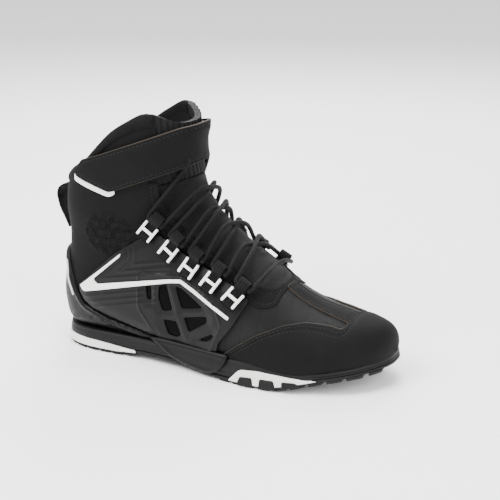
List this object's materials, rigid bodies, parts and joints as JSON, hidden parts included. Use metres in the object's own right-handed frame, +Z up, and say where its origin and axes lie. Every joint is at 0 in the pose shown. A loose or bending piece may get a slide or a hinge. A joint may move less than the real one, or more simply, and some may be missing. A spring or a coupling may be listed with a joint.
{
  "type": "riding boot",
  "caption": "Ankle-high laced riding boot for the right foot, with armour side panels, ankle strap, heel counter, pull loop and flexible sole.",
  "frame": {"origin": "on the ground under the middle of the heel", "axes": "+X towards the toe, +Y towards the inner side of the foot, +Z up"},
  "size_m": [0.3118, 0.1112, 0.2145],
  "materials": {
    "nubuck_microfibre": "matte black brushed microfibre",
    "ripstop_textile": "black woven technical fabric",
    "knit_lining": "black spacer knit",
    "armour_tpu": "satin graphite moulded elastomer",
    "white_trim": "satin white moulded elastomer",
    "black_rubber": "matte black moulded rubber",
    "white_rubber": "matte white moulded rubber",
    "webbing": "black woven polyester webbing",
    "lace_braid": "black braided polyester",
    "stiffener_board": "plain thermoplastic sheet",
    "insole_fibre": "pressed fibre board",
    "foam_footbed": "textile-faced foam",
    "spring_steel": "bright rolled steel",
    "gloss_padding": "glossy black coated padding",
    "reflective_film": "silver retroreflective film",
    "hook_and_loop": "black hook-and-loop tape",
    "aglet_plastic": "clear-coated black plastic"
  },
  "bodies": {
    "boot": {"insole_board": "insole_fibre", "vamp": "ripstop_textile", "quarter_outer": "nubuck_microfibre", "quarter_inner": "nubuck_microfibre", "tongue": "ripstop_textile", "tongue_top": "ripstop_textile", "lining_bootie": "knit_lining", "collar_padding": "knit_lining", "toe_puff": "stiffener_board", "heel_stiffener": "stiffener_board", "ankle_cup_outer": "stiffener_board", "ankle_cup_inner": "stiffener_board", "toe_cap": "nubuck_microfibre", "back_stay": "nubuck_microfibre", "eyestay_outer": "nubuck_microfibre", "eyestay_inner": "nubuck_microfibre", "vent_mesh_outer": "ripstop_textile", "side_panel_outer": "armour_tpu", "side_panel_inner": "armour_tpu", "chevron_stripe": "white_trim", "heel_counter": "armour_tpu", "heel_reflector": "reflective_film", "outsole": "black_rubber", "heel_insert_outer": "white_rubber", "forefoot_insert_outer": "white_rubber", "shank": "spring_steel", "midsole": "black_rubber", "footbed": "foam_footbed", "webbing_loop_outer_1": "webbing", "lace_frame_outer_1": "white_trim", "webbing_loop_outer_2": "webbing", "lace_frame_outer_2": "white_trim", "webbing_loop_outer_3": "webbing", "lace_frame_outer_3": "white_trim", "webbing_loop_outer_4": "webbing", "lace_frame_outer_4": "white_trim", "webbing_loop_outer_5": "webbing", "lace_frame_outer_5": "white_trim", "webbing_loop_inner_1": "webbing", "lace_frame_inner_1": "white_trim", "webbing_loop_inner_2": "webbing", "lace_frame_inner_2": "white_trim", "webbing_loop_inner_3": "webbing", "lace_frame_inner_3": "white_trim", "webbing_loop_inner_4": "webbing", "lace_frame_inner_4": "white_trim", "webbing_loop_inner_5": "webbing", "lace_frame_inner_5": "white_trim", "lace": "lace_braid", "aglet_1": "aglet_plastic", "aglet_2": "aglet_plastic", "strap_anchor": "nubuck_microfibre", "loop_patch": "hook_and_loop", "flex_panel_inner": "gloss_padding", "pull_loop": "webbing"},
    "strap_bridge": {"strap_bridge": "nubuck_microfibre"},
    "strap_end": {"strap_end": "nubuck_microfibre", "strap_tab": "white_trim", "hook_patch": "hook_and_loop"}
  },
  "joints": [
    {"name": "strap_bridge_bend", "type": "hinge", "parent": "boot", "child": "strap_bridge", "pos_m": [0.06453, 0.0361, 0.18272], "axis": [-0.3482, 0.2361, 0.9072], "range_deg": [0, 33]},
    {"name": "strap_end_open", "type": "hinge", "parent": "strap_bridge", "child": "strap_end", "pos_m": [0.06453, -0.0361, 0.18272], "axis": [-0.3482, -0.2361, 0.9072], "range_deg": [0, 110]}
  ],
  "couplings": [
    {"joint": "strap_bridge_bend", "follows": "strap_end_open", "ratio": 0.3}
  ]
}
